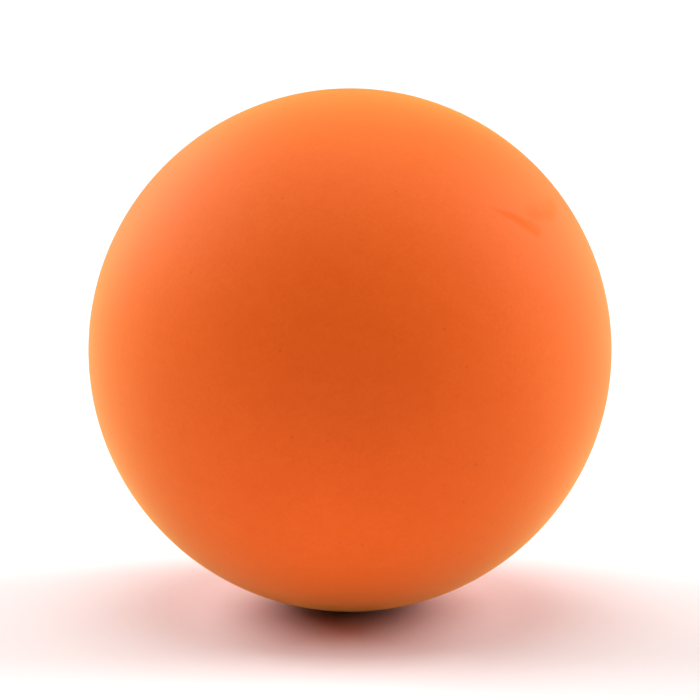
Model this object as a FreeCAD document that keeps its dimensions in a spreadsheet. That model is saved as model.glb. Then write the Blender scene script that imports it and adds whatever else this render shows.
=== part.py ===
import FreeCAD, Part
import Sketcher
import math
import os

# A table tennis ball: two injection-moulded half shells that meet on a flat seam through the
# ball's centre. The front shell has a thin tongue all round its rim, the rear shell a rebate
# that takes it, and solvent cement fills the gap between them and squeezes out as a small
# bead inside. The finished ball is tumbled until nothing of the joint stands proud.
#
# Frame: the origin is the ball's centre, +Z is up and Y is the ball's polar axis. The seam lies
# in the plane Y = 0, the front shell at -Y and the rear shell at +Y. Lengths are in millimetres.

SIZES = (
    # alias, value, what it is
    ("ball_diameter", 40.0, "outside diameter of the finished ball"),
    ("wall", 0.5, "wall of each half shell away from its rim"),
    ("rim_thickening", 0.25, "how much thicker the wall is at the seam"),
    ("tongue_thickness", 0.3, "radial thickness of the front shell's tongue"),
    ("tongue_height", 0.8, "how far the tongue stands past the seam plane"),
    ("cement_gap", 0.05, "cement between any two faces of the joint"),
    ("bead_width", 0.7, "width of the cement bead on the inside of the rim"),
    ("bead_height", 0.2, "how far the cement bead stands in from the rim"),
)

# Radii about the polar axis, from the outside in, and places along it, as sheet expressions
BALL_RADIUS = "sizes.ball_diameter / 2"
INNER_RADIUS = f"({BALL_RADIUS} - sizes.wall)"
RIM_RADIUS = f"({INNER_RADIUS} - sizes.rim_thickening)"
TONGUE_RADIUS = f"({RIM_RADIUS} + sizes.tongue_thickness)"
REBATE_RADIUS = f"({TONGUE_RADIUS} + sizes.cement_gap)"
FRONT_BUTT = "-sizes.cement_gap / 2"
REAR_BUTT = "sizes.cement_gap / 2"
TONGUE_END = "sizes.tongue_height"
REBATE_END = "(sizes.tongue_height + sizes.cement_gap)"
BEAD_MIDDLE = "(sizes.tongue_height + sizes.cement_gap / 2)"
BEAD_ARC = "((sizes.bead_width / 2) ^ 2 + sizes.bead_height ^ 2) / (2 * sizes.bead_height)"

START, END, CENTRE = 1, 2, 3  # the points of a sketch edge
ORIGIN = (-1, 1)
POLAR_AXIS = -2


def make_sheet(doc):
    sheet = doc.addObject("Spreadsheet::Sheet", "sizes")
    for row, (alias, value, meaning) in enumerate(SIZES, start=1):
        sheet.set(f"A{row}", meaning)
        sheet.set(f"B{row}", str(value))
        sheet.setAlias(f"B{row}", alias)
    doc.recompute()


def add_sketch(body, name):
    sketch = body.newObject("Sketcher::SketchObject", name)
    plane = next(p for p in body.Origin.OriginFeatures if p.Role == "XY_Plane")
    sketch.AttachmentSupport = [(plane, "")]
    sketch.MapMode = "FlatFace"
    return sketch


def place_corner(corner, radius, pole_side, value_of):
    """A corner's x and y. One that is None follows from the sphere that the corner lies on."""
    x, y = (None if expression is None else value_of(expression) for expression in corner)
    if x is None:
        x = math.sqrt(radius**2 - y**2)
    if y is None:
        y = pole_side * math.sqrt(radius**2 - x**2)
    return x, y


def bind(sketch, point, kind, expression, value):
    """Ties a point's distance from the origin, along X or Y, to a sheet expression."""
    if value < 0:
        points, expression = point + ORIGIN, f"-({expression})"
    else:
        points = ORIGIN + point
    constraint = sketch.addConstraint(Sketcher.Constraint(kind, *points, abs(value)))
    sketch.setExpression(f"Constraints[{constraint}]", expression)


def bind_radius(sketch, edge, expression, value):
    constraint = sketch.addConstraint(Sketcher.Constraint("Radius", edge, value))
    sketch.setExpression(f"Constraints[{constraint}]", expression)


def add_profile(body, name, corners, spheres, pole_side):
    """Adds a closed sketch beside the polar axis, with its sizes bound to the sheet.

    corners are (x, y) expressions in order round the profile. A coordinate that is None is
    left to the sphere about the origin whose arc ends there. spheres maps the number of an
    edge, the one from that corner to the next, to the radius of its sphere.
    """
    sketch = add_sketch(body, name)
    count = len(corners)
    radii = {edge: sketch.evalExpression(radius) for edge, radius in spheres.items()}
    places = []
    for i, corner in enumerate(corners):
        radius = radii.get(i, radii.get((i - 1) % count))
        places.append(place_corner(corner, radius, pole_side, sketch.evalExpression))

    # the edges, each with the sketch points at its two corners: an arc always runs anticlockwise
    ends = []
    for i, here in enumerate(places):
        there = places[(i + 1) % count]
        if i in radii:
            angles = math.atan2(here[1], here[0]), math.atan2(there[1], there[0])
            circle = Part.Circle(FreeCAD.Vector(), FreeCAD.Vector(0, 0, 1), radii[i])
            sketch.addGeometry(Part.ArcOfCircle(circle, min(angles), max(angles)))
            ends.append((START, END) if angles[0] < angles[1] else (END, START))
        else:
            line = Part.LineSegment(FreeCAD.Vector(*here, 0), FreeCAD.Vector(*there, 0))
            sketch.addGeometry(line)
            ends.append((START, END))

    for i in range(count):
        after = (i + 1) % count
        sketch.addConstraint(
            Sketcher.Constraint("Coincident", i, ends[i][1], after, ends[after][0])
        )
    for edge, radius in spheres.items():
        sketch.addConstraint(Sketcher.Constraint("Coincident", edge, CENTRE, *ORIGIN))
        bind_radius(sketch, edge, radius, radii[edge])
    for i, (x, y) in enumerate(corners):
        point = (i, ends[i][0])
        if x == "0":
            sketch.addConstraint(Sketcher.Constraint("PointOnObject", *point, POLAR_AXIS))
        elif x is not None:
            bind(sketch, point, "DistanceX", x, places[i][0])
        if y is not None:
            bind(sketch, point, "DistanceY", y, places[i][1])
    return sketch


def add_bead_profile(body, name):
    """Adds the section of the cement bead: a flat side on the rim and a rounded side inwards."""
    sketch = add_sketch(body, name)
    rim, middle, radius, width, height = map(
        sketch.evalExpression,
        (RIM_RADIUS, BEAD_MIDDLE, BEAD_ARC, "sizes.bead_width", "sizes.bead_height"),
    )
    half_angle = math.asin(width / 2 / radius)
    centre = FreeCAD.Vector(rim - height + radius, middle, 0)
    circle = Part.Circle(centre, FreeCAD.Vector(0, 0, 1), radius)
    low = FreeCAD.Vector(rim, middle - width / 2, 0)
    high = FreeCAD.Vector(rim, middle + width / 2, 0)
    flat_side, round_side = 0, 1
    sketch.addGeometry(Part.LineSegment(low, high))
    sketch.addGeometry(Part.ArcOfCircle(circle, math.pi - half_angle, math.pi + half_angle))
    for line_end, arc_end in ((END, START), (START, END)):
        sketch.addConstraint(
            Sketcher.Constraint("Coincident", flat_side, line_end, round_side, arc_end)
        )
    for end, place, sign in ((START, low, "-"), (END, high, "+")):
        bind(sketch, (flat_side, end), "DistanceX", RIM_RADIUS, place.x)
        along = f"{BEAD_MIDDLE} {sign} sizes.bead_width / 2"
        bind(sketch, (flat_side, end), "DistanceY", along, place.y)
    bind_radius(sketch, round_side, BEAD_ARC, radius)
    return sketch


def revolve(body, name, sketch):
    """Turns a profile a full turn about the polar axis, which is the sketch's own Y axis."""
    turned = body.newObject("PartDesign::Revolution", name)
    turned.Profile = sketch
    turned.ReferenceAxis = (sketch, ["V_Axis"])
    turned.Angle = 360
    body.Tip = turned


def add_body(doc, label):
    body = doc.addObject("PartDesign::Body", label)
    body.Label = label
    body.Placement = FreeCAD.Placement()
    return body


def make_front_half_shell(doc):
    """The half at -Y: a thin dome, thickened at its rim, with the tongue standing past the seam."""
    body = add_body(doc, "front_half_shell")
    corners = [
        ("0", None),
        (None, FRONT_BUTT),
        (TONGUE_RADIUS, FRONT_BUTT),
        (TONGUE_RADIUS, TONGUE_END),
        (RIM_RADIUS, TONGUE_END),
        (RIM_RADIUS, None),
        ("0", None),
    ]
    spheres = {0: BALL_RADIUS, 5: INNER_RADIUS}
    sketch = add_profile(body, "front_section", corners, spheres, pole_side=-1)
    revolve(body, "front_dome", sketch)
    return body


def make_rear_half_shell(doc):
    """The half at +Y: the same dome, with a rebate inside its rim for the tongue."""
    body = add_body(doc, "rear_half_shell")
    corners = [
        (None, REAR_BUTT),
        ("0", None),
        ("0", None),
        (RIM_RADIUS, None),
        (RIM_RADIUS, REBATE_END),
        (REBATE_RADIUS, REBATE_END),
        (REBATE_RADIUS, REAR_BUTT),
    ]
    spheres = {0: BALL_RADIUS, 2: INNER_RADIUS}
    sketch = add_profile(body, "rear_section", corners, spheres, pole_side=1)
    revolve(body, "rear_dome", sketch)
    return body


def make_seam_cement(doc):
    """The cement: a stepped film between all the faces of the joint, and the bead inside it."""
    body = add_body(doc, "seam_cement")
    corners = [
        (None, FRONT_BUTT),
        (None, REAR_BUTT),
        (REBATE_RADIUS, REAR_BUTT),
        (REBATE_RADIUS, REBATE_END),
        (RIM_RADIUS, REBATE_END),
        (RIM_RADIUS, TONGUE_END),
        (TONGUE_RADIUS, TONGUE_END),
        (TONGUE_RADIUS, FRONT_BUTT),
    ]
    film = add_profile(body, "film_section", corners, {0: BALL_RADIUS}, pole_side=1)
    revolve(body, "film", film)
    revolve(body, "bead", add_bead_profile(body, "bead_section"))
    return body


def check(doc, bodies):
    for part in doc.Objects:
        if {"Invalid", "Error"} & set(part.State):
            raise RuntimeError(f"{part.Label} failed: {part.State}")
    for body in bodies:
        if body.Shape.isNull() or not body.Shape.isValid() or len(body.Shape.Solids) != 1:
            raise RuntimeError(f"{body.Label} is not one valid solid")


doc = FreeCAD.newDocument("table_tennis_ball")
make_sheet(doc)
bodies = [make_front_half_shell(doc), make_rear_half_shell(doc), make_seam_cement(doc)]
doc.recompute()
check(doc, bodies)
os.makedirs("parts", exist_ok=True)
for body in bodies:
    body.Shape.exportStep(f"parts/{body.Label}.step")
    print(f"{body.Label}: {body.Shape.Volume:.1f} mm3")
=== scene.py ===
import bpy
import bmesh
import math
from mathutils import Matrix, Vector


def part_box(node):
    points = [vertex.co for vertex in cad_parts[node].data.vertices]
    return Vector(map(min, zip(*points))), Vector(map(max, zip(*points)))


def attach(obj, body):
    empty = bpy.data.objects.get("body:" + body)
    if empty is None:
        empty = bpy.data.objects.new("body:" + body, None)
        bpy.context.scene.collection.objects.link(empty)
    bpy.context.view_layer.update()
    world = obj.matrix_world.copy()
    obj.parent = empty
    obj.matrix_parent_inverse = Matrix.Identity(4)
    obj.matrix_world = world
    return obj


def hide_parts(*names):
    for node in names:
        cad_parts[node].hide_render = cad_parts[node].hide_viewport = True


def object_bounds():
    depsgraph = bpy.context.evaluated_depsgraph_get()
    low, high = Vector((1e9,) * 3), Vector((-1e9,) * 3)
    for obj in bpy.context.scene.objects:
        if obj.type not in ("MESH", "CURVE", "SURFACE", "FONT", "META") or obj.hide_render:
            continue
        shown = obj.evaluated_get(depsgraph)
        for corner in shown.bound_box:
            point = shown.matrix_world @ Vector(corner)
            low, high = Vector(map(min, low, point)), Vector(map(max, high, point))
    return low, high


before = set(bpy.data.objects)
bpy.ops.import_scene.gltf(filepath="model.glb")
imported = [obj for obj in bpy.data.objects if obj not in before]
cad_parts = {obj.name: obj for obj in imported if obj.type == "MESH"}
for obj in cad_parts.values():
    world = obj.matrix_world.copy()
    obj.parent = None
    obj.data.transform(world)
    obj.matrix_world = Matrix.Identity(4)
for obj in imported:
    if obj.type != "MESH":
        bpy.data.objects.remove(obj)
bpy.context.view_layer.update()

# ---------------------------------------------------------------------------------------------
# Front half shell: one of the two thin domes that the ball is moulded as, in matte orange ABS.
# Its wall thickens towards the rim, and a tongue all round the rim stands past the seam into
# the other half. The sizes are the shell's own, and its place comes from the frame.
MM = 0.001
ball_low, ball_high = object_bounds()
BALL_RADIUS = (ball_high.x - ball_low.x) / 2
WALL = 0.5 * MM
RIM_THICKENING = 0.25 * MM
TONGUE_THICKNESS = 0.3 * MM
TONGUE_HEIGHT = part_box("front_half_shell")[1].y
CEMENT_GAP = 2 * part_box("rear_half_shell")[0].y
EDGE_ROUNDING = 0.03 * MM
FACES_ACROSS = 96  # faces across a quarter turn of the dome, an even number
BORE_STEPS = 8  # rows of faces down the rim's bore
SHARP_ANGLE = math.radians(25)
WELD = 0.001 * MM
HALF_TURN = math.pi


def feed(tree, socket, value):
    """Links a socket to another one, or sets its value."""
    if isinstance(value, bpy.types.NodeSocket):
        tree.links.new(value, socket)
    else:
        socket.default_value = value


def add_node(tree, kind, inputs=(), **settings):
    """Adds a node with its settings, and feeds its inputs, given by name or number."""
    node = tree.nodes.new(kind)
    for name, value in settings.items():
        setattr(node, name, value)
    for socket, value in dict(inputs).items():
        feed(tree, node.inputs[socket], value)
    return node


def calc(tree, operation, *values):
    node = add_node(tree, "ShaderNodeMath", enumerate(values), operation=operation)
    return node.outputs[0]


def calc_vector(tree, operation, *values, scale=None):
    node = add_node(tree, "ShaderNodeVectorMath", enumerate(values), operation=operation)
    if scale is not None:
        feed(tree, node.inputs["Scale"], scale)
    return node.outputs["Vector"]


def new_tree(name, sizes):
    """A Geometry Nodes tree with a named input for each size, a face count and a material."""
    tree = bpy.data.node_groups.new(name, "GeometryNodeTree")
    tree.interface.new_socket("Geometry", in_out="INPUT", socket_type="NodeSocketGeometry")
    for size in sizes:
        tree.interface.new_socket(size, in_out="INPUT", socket_type="NodeSocketFloat")
    tree.interface.new_socket("Faces across", in_out="INPUT", socket_type="NodeSocketInt")
    tree.interface.new_socket("Finish", in_out="INPUT", socket_type="NodeSocketMaterial")
    tree.interface.new_socket("Geometry", in_out="OUTPUT", socket_type="NodeSocketGeometry")
    return tree, add_node(tree, "NodeGroupInput").outputs


def away_from_axis(tree):
    """The unit vector from the ball's polar axis, Y, out through each point."""
    place = add_node(tree, "GeometryNodeInputPosition").outputs[0]
    return calc_vector(tree, "NORMALIZE", calc_vector(tree, "MULTIPLY", place, (1, 0, 1)))


def ring_place(tree, radius, along):
    """Each point's place on the ring of this radius about Y, at this distance along Y."""
    out = calc_vector(tree, "SCALE", away_from_axis(tree), scale=radius)
    shift = add_node(tree, "ShaderNodeCombineXYZ", {"Y": along}).outputs[0]
    return calc_vector(tree, "ADD", out, shift)


def draw_rings(tree, mesh, edges, rings):
    """Draws a row of faces from the chosen edges through each ring (radius, along) in turn."""
    for radius, along in rings:
        drawn = add_node(
            tree,
            "GeometryNodeExtrudeMesh",
            {"Mesh": mesh, "Selection": edges, "Offset Scale": 0.0},
            mode="EDGES",
        )
        edges = drawn.outputs["Top"]
        placed = {
            "Geometry": drawn.outputs["Mesh"],
            "Selection": edges,
            "Position": ring_place(tree, radius, along),
        }
        mesh = add_node(tree, "GeometryNodeSetPosition", placed).outputs[0]
    return mesh


def end_tree(tree, mesh, finish):
    welded = add_node(tree, "GeometryNodeMergeByDistance", {"Geometry": mesh, "Distance": WELD})
    smooth = add_node(tree, "GeometryNodeSetShadeSmooth", {"Geometry": welded.outputs[0]})
    real = add_node(tree, "GeometryNodeRealizeInstances", {"Geometry": smooth.outputs[0]})
    surfaced = {"Geometry": real.outputs[0], "Material": finish}
    done = add_node(tree, "GeometryNodeSetMaterial", surfaced)
    add_node(tree, "NodeGroupOutput", {"Geometry": done.outputs[0]})


def half_shell_tree(name, rings_of):
    """A dome with its pole at +Y: outer skin, rings down and round the rim, and inner skin.

    The skins are a cube's faces rounded onto a sphere, so no faces pinch at the pole.
    """
    sizes = (
        "Ball radius",
        "Wall",
        "Rim thickening",
        "Tongue thickness",
        "Tongue height",
        "Cement gap",
        "Edge rounding",
        "Turn",
    )
    tree, given = new_tree(name, sizes)
    ball = given["Ball radius"]
    inner = calc(tree, "SUBTRACT", ball, given["Wall"])
    rim = calc(tree, "SUBTRACT", inner, given["Rim thickening"])
    tongue = calc(tree, "ADD", rim, given["Tongue thickness"])
    butt = calc(tree, "MULTIPLY", given["Cement gap"], 0.5)

    # a cube's faces, spread by their tangents so that they turn through equal angles
    count = calc(tree, "ADD", given["Faces across"], 1)
    cube = add_node(
        tree,
        "GeometryNodeMeshCube",
        {"Size": (2, 2, 2), "Vertices X": count, "Vertices Y": count, "Vertices Z": count},
    ).outputs[0]
    place = add_node(tree, "GeometryNodeInputPosition").outputs[0]
    angle = calc_vector(tree, "SCALE", place, scale=HALF_TURN / 4)
    direction = calc_vector(tree, "NORMALIZE", calc_vector(tree, "TANGENT", angle))
    unit = {"Geometry": cube, "Position": direction}
    sphere = add_node(tree, "GeometryNodeSetPosition", unit).outputs[0]
    along = add_node(tree, "ShaderNodeSeparateXYZ", {0: place}).outputs["Y"]
    below = calc(tree, "LESS_THAN", along, -WELD)
    halved = {"Geometry": sphere, "Selection": below}
    dome = add_node(tree, "GeometryNodeDeleteGeometry", halved, domain="POINT").outputs[0]

    # the outer skin, whose lowest ring stops short of the seam to leave the rounded edge
    skin = calc_vector(tree, "SCALE", place, scale=ball)
    outer = {"Geometry": dome, "Position": skin}
    outer = add_node(tree, "GeometryNodeSetPosition", outer).outputs[0]
    edge_along = calc(tree, "ADD", butt, given["Edge rounding"])
    ball_square = calc(tree, "MULTIPLY", ball, ball)
    along_square = calc(tree, "MULTIPLY", edge_along, edge_along)
    edge_out = calc(tree, "SQRT", calc(tree, "SUBTRACT", ball_square, along_square))
    lowest = calc(tree, "LESS_THAN", along, WELD)
    stopped = {
        "Geometry": outer,
        "Selection": lowest,
        "Position": ring_place(tree, edge_out, edge_along),
    }
    outer = add_node(tree, "GeometryNodeSetPosition", stopped).outputs[0]

    # the inner skin, drawn in so that it ends where the thickened rim starts
    full = calc(tree, "ARCSINE", calc(tree, "DIVIDE", rim, inner))
    polar = calc(tree, "ARCCOSINE", along)
    drawn_in = calc(tree, "MULTIPLY", polar, calc(tree, "DIVIDE", full, HALF_TURN / 2))
    inner_place = ring_place(
        tree,
        calc(tree, "MULTIPLY", inner, calc(tree, "SINE", drawn_in)),
        calc(tree, "MULTIPLY", inner, calc(tree, "COSINE", drawn_in)),
    )
    lining = {"Geometry": dome, "Position": inner_place}
    lining = add_node(tree, "GeometryNodeSetPosition", lining).outputs[0]
    lining = add_node(tree, "GeometryNodeFlipFaces", {"Mesh": lining}).outputs[0]

    # the rings from the rounded edge across the joint to the inner skin
    part_round = calc(tree, "MULTIPLY", given["Edge rounding"], 1 - math.sqrt(0.5))
    rim_depth = calc(tree, "MULTIPLY", inner, calc(tree, "COSINE", full))
    rings = [
        (calc(tree, "SUBTRACT", ball, part_round), calc(tree, "ADD", butt, part_round)),
        (calc(tree, "SUBTRACT", ball, given["Edge rounding"]), butt),
        *rings_of(tree, given, tongue, rim, butt),
    ]
    bore_start = rings[-1][1]
    bore_length = calc(tree, "SUBTRACT", rim_depth, bore_start)
    for step in range(1, BORE_STEPS + 1):
        part_way = calc(tree, "MULTIPLY", bore_length, step / BORE_STEPS)
        rings.append((rim, calc(tree, "ADD", bore_start, part_way)))
    neighbours = add_node(tree, "GeometryNodeInputMeshEdgeNeighbors").outputs[0]
    open_edges = calc(tree, "COMPARE", neighbours, 1, 0.1)
    walled = draw_rings(tree, outer, open_edges, rings)
    joined = add_node(tree, "GeometryNodeJoinGeometry")
    tree.links.new(walled, joined.inputs[0])
    tree.links.new(lining, joined.inputs[0])
    turn = add_node(tree, "ShaderNodeCombineXYZ", {"Z": given["Turn"]}).outputs[0]
    turned = {"Geometry": joined.outputs[0], "Rotation": turn}
    turned = add_node(tree, "GeometryNodeTransform", turned).outputs[0]
    end_tree(tree, turned, given["Finish"])
    return tree


def make_piece(name, tree, values):
    """Runs a tree with these inputs and keeps the result as a plain mesh with one finish."""
    piece = bpy.data.objects.new(name, bpy.data.meshes.new(name))
    bpy.context.scene.collection.objects.link(piece)
    modifier = piece.modifiers.new("Shape", "NODES")
    modifier.node_group = tree
    for socket in tree.interface.items_tree:
        if socket.in_out == "INPUT" and socket.name in values:
            modifier[socket.identifier] = values[socket.name]
    depsgraph = bpy.context.evaluated_depsgraph_get()
    mesh = bpy.data.meshes.new_from_object(piece.evaluated_get(depsgraph), depsgraph=depsgraph)
    piece.modifiers.remove(modifier)
    piece.data = mesh
    mesh.materials.clear()
    mesh.materials.append(values["Finish"])
    shaped = bmesh.new()
    shaped.from_mesh(mesh)
    bmesh.ops.recalc_face_normals(shaped, faces=shaped.faces)
    for face in shaped.faces:
        face.material_index = 0
    shaped.to_mesh(mesh)
    shaped.free()
    mesh.set_sharp_from_angle(angle=SHARP_ANGLE)
    return piece


def new_finish(name):
    """A material with its node tree, its shader, and each point's place in millimetres."""
    finish = bpy.data.materials.new(name)
    finish.use_nodes = True
    tree = finish.node_tree
    place = add_node(tree, "ShaderNodeTexCoord").outputs["Object"]
    place = calc_vector(tree, "SCALE", place, scale=1 / MM)
    return finish, tree, tree.nodes["Principled BSDF"], place


def feed_shader(tree, shader, colour, roughness, height, depth):
    """Colours and roughens the shader, with height 1 standing this depth above height 0."""
    relief = {"Height": height, "Strength": 1.0, "Distance": depth}
    feed(tree, shader.inputs["Base Color"], colour)
    feed(tree, shader.inputs["Roughness"], roughness)
    feed(tree, shader.inputs["Normal"], add_node(tree, "ShaderNodeBump", relief).outputs[0])


def noise(tree, place, scale):
    """Soft noise about 0, with this many features to the millimetre."""
    inputs = {"Vector": place, "Scale": scale, "Detail": 3.0}
    value = add_node(tree, "ShaderNodeTexNoise", inputs).outputs[0]
    return calc(tree, "SUBTRACT", value, 0.5)


def add_up(tree, start, *parts):
    """The start with each part, a (value, weight) pair, added to it."""
    total = start
    for value, weight in parts:
        total = calc(tree, "MULTIPLY_ADD", value, weight, total)
    return total


def ramp(tree, value, low, high, at_low=0.0, at_high=1.0):
    """Goes smoothly from one end to the other as the value goes from low to high."""
    ends = {"From Min": low, "From Max": high, "To Min": at_low, "To Max": at_high}
    kind = {"interpolation_type": "SMOOTHSTEP", "clamp": True}
    return add_node(tree, "ShaderNodeMapRange", {"Value": value, **ends}, **kind).outputs[0]


def blend(tree, share, under, over):
    """The under colour with this share of the over colour laid on it."""
    mix = add_node(tree, "ShaderNodeMix", {0: share, 6: under, 7: over}, data_type="RGBA")
    return mix.outputs[2]


def specks(tree, place, scale, radius, share):
    """Soft dots of up to this radius in this share of the cells, with scale cells to 1 mm."""
    cells = add_node(tree, "ShaderNodeTexVoronoi", {"Vector": place, "Scale": scale}).outputs
    chance = add_node(tree, "ShaderNodeSeparateColor", {0: cells["Color"]}).outputs
    chosen = calc(tree, "LESS_THAN", chance["Red"], share)
    largest = radius * scale
    size = ramp(tree, chance["Green"], 0.0, 1.0, at_low=0.4 * largest, at_high=largest)
    apart = calc(tree, "DIVIDE", cells["Distance"], size)
    return calc(tree, "MULTIPLY", chosen, ramp(tree, apart, 0.4, 1.0, at_low=1.0, at_high=0.0))


def smear(tree, place, middle, lengthways, half_size, taper=0.0, hollow=0.0, one_sided=0.0):
    """A faint rubbed patch on the skin, round the direction middle, with half sizes in mm.

    Its start is narrower than its middle by the share taper, its inside is fainter than its
    edge by the share hollow, and one long side is fainter than the other by one_sided.
    """
    out = Vector(middle).normalized()
    along = (Vector(lengthways) - out * out.dot(Vector(lengthways))).normalized()
    across = out.cross(along)

    def reach(direction):
        product = {0: place, 1: direction}
        node = add_node(tree, "ShaderNodeVectorMath", product, operation="DOT_PRODUCT")
        return node.outputs["Value"]

    length_share = reach(along / half_size[0])
    width = calc(tree, "MULTIPLY_ADD", length_share, taper, 1.0)
    width_share = calc(tree, "DIVIDE", reach(across / half_size[1]), width)
    spot = add_node(tree, "ShaderNodeCombineXYZ", {"X": length_share, "Y": width_share})
    spread = add_node(tree, "ShaderNodeVectorMath", {0: spot.outputs[0]}, operation="LENGTH")
    spread = add_up(tree, spread.outputs["Value"], (noise(tree, place, 1.2), 1.2))
    this_side = calc(tree, "GREATER_THAN", reach(out), 0.0)
    edge = ramp(tree, spread, 0.45, 1.3, at_low=1.0, at_high=0.0)
    inside = ramp(tree, spread, 0.2, 0.7, at_low=1 - hollow, at_high=1.0)
    fading = ramp(tree, width_share, -0.5, 0.7, at_low=1.0, at_high=1 - one_sided)
    patch = calc(tree, "MULTIPLY", calc(tree, "MULTIPLY", this_side, edge), inside)
    return calc(tree, "MULTIPLY", patch, fading)


SPECK_STRENGTH = 0.25
SMALL_SPECK_STRENGTH = 0.6  # of the larger specks' strength
SMEAR_STRENGTH = 0.4
BAND_STRENGTH = 0.5
BAND_START, BAND_END = 0.5, 1.3  # millimetres from the seam
GRAIN_DEPTH = 0.010 * MM
SHEEN_TINT = (1.0, 0.78, 0.21, 1)


def orange_shell_finish():
    """Orange ABS dulled by tumbling: fine grain, faint clouds, dark specks and two smears."""
    light_orange = (0.98, 0.129, 0.008, 1)
    deep_orange = (0.90, 0.099, 0.003, 1)
    speck_brown = (0.42, 0.040, 0.003, 1)
    smear_orange = (0.93, 0.078, 0.001, 1)
    joint_orange = (0.86, 0.088, 0.003, 1)
    finish, tree, shader, place = new_finish("tumbled_orange_abs")
    clouds = noise(tree, place, 0.16)
    mottle = noise(tree, place, 0.9)
    grain = noise(tree, place, 4.0)
    fine_grain = noise(tree, place, 11.0)
    tint = add_up(tree, 0.5, (clouds, 0.6), (mottle, 0.6), (grain, 0.9), (fine_grain, 0.6))
    colour = blend(tree, tint, deep_orange, light_orange)

    # two thicknesses of plastic let less light through, so the joint shows as a deeper band
    from_seam = add_node(tree, "ShaderNodeSeparateXYZ", {0: place}).outputs["Y"]
    from_seam = add_up(tree, calc(tree, "ABSOLUTE", from_seam), (mottle, 0.4))
    band = ramp(tree, from_seam, BAND_START, BAND_END, at_low=BAND_STRENGTH, at_high=0.0)
    colour = blend(tree, band, colour, joint_orange)

    large_specks = specks(tree, place, scale=1.3, radius=0.14, share=0.10)
    small_specks = specks(tree, place, scale=2.9, radius=0.07, share=0.12)
    small_specks = calc(tree, "MULTIPLY", small_specks, SMALL_SPECK_STRENGTH)
    dots = calc(tree, "MAXIMUM", large_specks, small_specks)
    colour = blend(tree, calc(tree, "MULTIPLY", dots, SPECK_STRENGTH), colour, speck_brown)

    streak = smear(
        tree,
        place,
        middle=(0.58, -0.63, 0.52),
        lengthways=(0.82, 0.42, -0.39),
        half_size=(2.3, 0.5),
        taper=0.6,
    )
    arc = smear(
        tree,
        place,
        middle=(0.68, -0.46, 0.57),
        lengthways=(0.45, 0.88, 0.18),
        half_size=(2.6, 1.2),
        hollow=0.6,
        one_sided=0.9,
    )
    rubbed = calc(tree, "MAXIMUM", streak, arc)
    colour = blend(tree, calc(tree, "MULTIPLY", rubbed, SMEAR_STRENGTH), colour, smear_orange)

    roughness = add_up(tree, 0.6, (mottle, 0.1), (grain, 0.1), (rubbed, 0.2))
    height = add_up(tree, grain, (fine_grain, 0.5), (dots, -0.6), (rubbed, -0.3))
    feed_shader(tree, shader, colour, roughness, height, GRAIN_DEPTH)
    shader.inputs["IOR"].default_value = 1.35
    shader.inputs["Specular IOR Level"].default_value = 0.25
    # tumbling leaves the skin powdery, and so lighter where it is seen edge on
    shader.inputs["Sheen Weight"].default_value = 0.6
    shader.inputs["Sheen Roughness"].default_value = 0.5
    shader.inputs["Sheen Tint"].default_value = SHEEN_TINT
    return finish


def tongue_rings(tree, given, tongue, rim, butt):
    """Seam face, tongue's outside, tongue's end and the rim's bore. Below the seam is negative."""
    end = calc(tree, "MULTIPLY", given["Tongue height"], -1)
    return [(tongue, butt), (tongue, end), (rim, end)]


ORANGE = orange_shell_finish()
shell_sizes = {
    "Ball radius": BALL_RADIUS,
    "Wall": WALL,
    "Rim thickening": RIM_THICKENING,
    "Tongue thickness": TONGUE_THICKNESS,
    "Tongue height": TONGUE_HEIGHT,
    "Cement gap": CEMENT_GAP,
    "Edge rounding": EDGE_ROUNDING,
    "Turn": HALF_TURN,
    "Faces across": FACES_ACROSS,
    "Finish": ORANGE,
}
front_tree = half_shell_tree("Half shell with tongue", tongue_rings)
front = make_piece("front_half_shell_moulded", front_tree, shell_sizes)
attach(front, "root")
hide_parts("front_half_shell")

# ---------------------------------------------------------------------------------------------
# Seam cement: solvent cement that fills the stepped gap between the two shells, and squeezes
# out into a small bead on the inside of the rim. Outside, tumbling leaves it just below flush.
BEAD_WIDTH = 0.7 * MM
BEAD_HEIGHT = 0.2 * MM
BEAD_STEPS = 8
MENISCUS = 0.015 * MM
STREAK_DEPTH = 0.02 * MM


def bead_rings(tree, rim, middle, width, height):
    """Rings over the bead's rounded section, which stands in from the rim as part of a circle."""
    half_width = calc(tree, "MULTIPLY", width, 0.5)
    height_square = calc(tree, "MULTIPLY", height, height)
    squares = calc(tree, "MULTIPLY_ADD", half_width, half_width, height_square)
    radius = calc(tree, "DIVIDE", squares, calc(tree, "MULTIPLY", height, 2.0))
    half_angle = calc(tree, "ARCSINE", calc(tree, "DIVIDE", half_width, radius))
    centre = calc(tree, "ADD", calc(tree, "SUBTRACT", rim, height), radius)
    rings = []
    for step in range(BEAD_STEPS + 1):
        angle = calc(tree, "MULTIPLY", half_angle, 1 - 2 * step / BEAD_STEPS)
        inwards = calc(tree, "MULTIPLY", radius, calc(tree, "COSINE", angle))
        sideways = calc(tree, "MULTIPLY", radius, calc(tree, "SINE", angle))
        out = calc(tree, "SUBTRACT", centre, inwards)
        rings.append((out, calc(tree, "ADD", middle, sideways)))
    return rings


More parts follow.
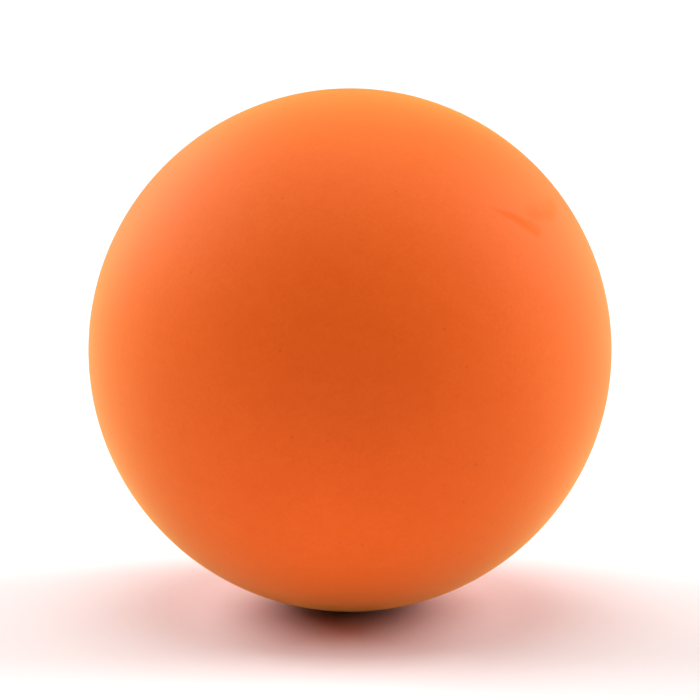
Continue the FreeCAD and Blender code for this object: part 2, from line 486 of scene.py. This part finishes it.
def seam_cement_tree():
    tree, given = new_tree(
        "Seam cement",
        (
            "Ball radius",
            "Wall",
            "Rim thickening",
            "Tongue thickness",
            "Tongue height",
            "Cement gap",
            "Bead width",
            "Bead height",
            "Meniscus",
        ),
    )
    inner = calc(tree, "SUBTRACT", given["Ball radius"], given["Wall"])
    rim = calc(tree, "SUBTRACT", inner, given["Rim thickening"])
    tongue = calc(tree, "ADD", rim, given["Tongue thickness"])
    rebate = calc(tree, "ADD", tongue, given["Cement gap"])
    rear_butt = calc(tree, "MULTIPLY", given["Cement gap"], 0.5)
    front_butt = calc(tree, "MULTIPLY", rear_butt, -1)
    outside = calc(tree, "SUBTRACT", given["Ball radius"], given["Meniscus"])
    tongue_end = given["Tongue height"]
    rebate_end = calc(tree, "ADD", tongue_end, given["Cement gap"])
    bead_middle = calc(tree, "ADD", tongue_end, rear_butt)
    bead = bead_rings(tree, rim, bead_middle, given["Bead width"], given["Bead height"])
    rings = [
        (outside, rear_butt),
        (rebate, rear_butt),
        (rebate, rebate_end),
        (rim, rebate_end),
        *bead,
        (rim, tongue_end),
        (tongue, tongue_end),
        (tongue, front_butt),
        (outside, front_butt),
    ]
    round_count = calc(tree, "MULTIPLY", given["Faces across"], 4)
    circle = add_node(tree, "GeometryNodeMeshCircle", {"Vertices": round_count, "Radius": 1.0})
    upright = {"Geometry": circle.outputs[0], "Rotation": (HALF_TURN / 2, 0, 0)}
    upright = add_node(tree, "GeometryNodeTransform", upright).outputs[0]
    start = {"Geometry": upright, "Position": ring_place(tree, outside, front_butt)}
    start = add_node(tree, "GeometryNodeSetPosition", start).outputs[0]
    end_tree(tree, draw_rings(tree, start, True, rings), given["Finish"])
    return tree


def cement_finish():
    """Set cement: the plastic dissolved in it makes it nearly the shells' orange, but deeper."""
    clear_orange = (0.82, 0.086, 0.0035, 1)
    cloudy_orange = (0.66, 0.064, 0.0025, 1)
    finish, tree, shader, place = new_finish("set_cement")
    streaks = noise(tree, place, 0.8)
    bubbles = specks(tree, place, 4.0, 0.06, 0.3)
    colour = blend(tree, add_up(tree, 0.5, (streaks, 1.2)), cloudy_orange, clear_orange)
    roughness = add_up(tree, 0.5, (streaks, 0.2))
    height = add_up(tree, streaks, (bubbles, -0.5))
    feed_shader(tree, shader, colour, roughness, height, STREAK_DEPTH)
    shader.inputs["Specular IOR Level"].default_value = 0.25
    shader.inputs["Sheen Weight"].default_value = 0.3
    shader.inputs["Sheen Roughness"].default_value = 0.5
    shader.inputs["Sheen Tint"].default_value = SHEEN_TINT
    return finish


cement_sizes = shell_sizes | {
    "Bead width": BEAD_WIDTH,
    "Bead height": BEAD_HEIGHT,
    "Meniscus": MENISCUS,
    "Finish": cement_finish(),
}
cement = make_piece("seam_cement_ring", seam_cement_tree(), cement_sizes)
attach(cement, "root")
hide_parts("seam_cement")

# ---------------------------------------------------------------------------------------------
# Rear half shell: the other dome, of the same plastic, with a rebate inside its rim that the
# tongue goes into, cemented in place.


def rebate_rings(tree, given, tongue, rim, butt):
    """Seam face, the rebate's wall, its shoulder and the rim's bore."""
    rebate = calc(tree, "ADD", tongue, given["Cement gap"])
    shoulder = calc(tree, "ADD", given["Tongue height"], given["Cement gap"])
    return [(rebate, butt), (rebate, shoulder), (rim, shoulder)]


rear_tree = half_shell_tree("Half shell with rebate", rebate_rings)
rear = make_piece("rear_half_shell_moulded", rear_tree, shell_sizes | {"Turn": 0.0})
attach(rear, "root")
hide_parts("rear_half_shell")

# ---------------------------------------------------------------------------------------------
# Studio: a plain pale floor that the ball rests on, and soft lights from above, behind and both
# sides, so that the ball is brightest round its edge. The camera looks along the polar axis,
# from slightly above.
FLOOR_SIZE = 6.0
FLOOR_GREY = 0.85
BACKDROP = 1.1
LENS = 85.0
ELEVATION = math.radians(6)
FRAME_SHARE = 0.7477  # the ball's share of the frame's width
SUN_UNIT = math.pi  # a sun of this strength, square on, lights a white surface to 1
LIGHTS = (
    # name, azimuth from the camera round to +X, elevation, strength, angle across: in degrees
    ("left_side", -100, 40, 0.6, 40),
    ("left_back", -135, 25, 0.4, 40),
    ("right_side", 100, 40, 0.6, 40),
    ("right_side_low", 100, 20, 0.2, 40),
    ("right_back_low", 135, 10, 0.2, 40),
    ("overhead", 0, 90, 0.45, 40),
)

half_floor = FLOOR_SIZE / 2
corners = []
for x, y in ((-1, -1), (1, -1), (1, 1), (-1, 1)):
    corners.append((x * half_floor, y * half_floor, ball_low.z))
floor_mesh = bpy.data.meshes.new("floor")
floor_mesh.from_pydata(corners, [], [(0, 1, 2, 3)])
floor = bpy.data.objects.new("floor", floor_mesh)
bpy.context.scene.collection.objects.link(floor)
paint = bpy.data.materials.new("pale_floor")
paint.use_nodes = True
paint_shader = paint.node_tree.nodes["Principled BSDF"]
paint_shader.inputs["Base Color"].default_value = (FLOOR_GREY, FLOOR_GREY, FLOOR_GREY, 1)
paint_shader.inputs["Roughness"].default_value = 0.9
paint_shader.inputs["Specular IOR Level"].default_value = 0.2
floor_mesh.materials.append(paint)

for name, azimuth, elevation, strength, across in LIGHTS:
    lamp = bpy.data.lights.new(name, "SUN")
    lamp.energy = strength * SUN_UNIT
    lamp.angle = math.radians(across)
    light = bpy.data.objects.new(name, lamp)
    bpy.context.scene.collection.objects.link(light)
    turn, lift = math.radians(azimuth), math.radians(elevation)
    towards = (math.sin(turn) * math.cos(lift), -math.cos(turn) * math.cos(lift), math.sin(lift))
    light.rotation_euler = Vector(towards).to_track_quat("Z", "Y").to_euler()

# the backdrop is white to the camera and gives no light of its own
world = bpy.data.worlds.new("studio")
bpy.context.scene.world = world
world.use_nodes = True
world_tree = world.node_tree
seen = add_node(world_tree, "ShaderNodeLightPath").outputs["Is Camera Ray"]
backdrop = world_tree.nodes["Background"]
backdrop.inputs["Color"].default_value = (1, 1, 1, 1)
feed(world_tree, backdrop.inputs["Strength"], calc(world_tree, "MULTIPLY", seen, BACKDROP))

camera_data = bpy.data.cameras.new("camera")
camera = bpy.data.objects.new("camera", camera_data)
bpy.context.scene.collection.objects.link(camera)
bpy.context.scene.camera = camera
camera_data.lens = LENS
camera_data.clip_start = 0.001
half_view = FRAME_SHARE * camera_data.sensor_width / 2 / LENS
distance = BALL_RADIUS / math.sin(math.atan(half_view))
camera.location = Vector((0, -math.cos(ELEVATION), math.sin(ELEVATION))) * distance
camera.rotation_euler = (math.pi / 2 - ELEVATION, 0, 0)
bpy.context.scene.view_settings.view_transform = "Standard"
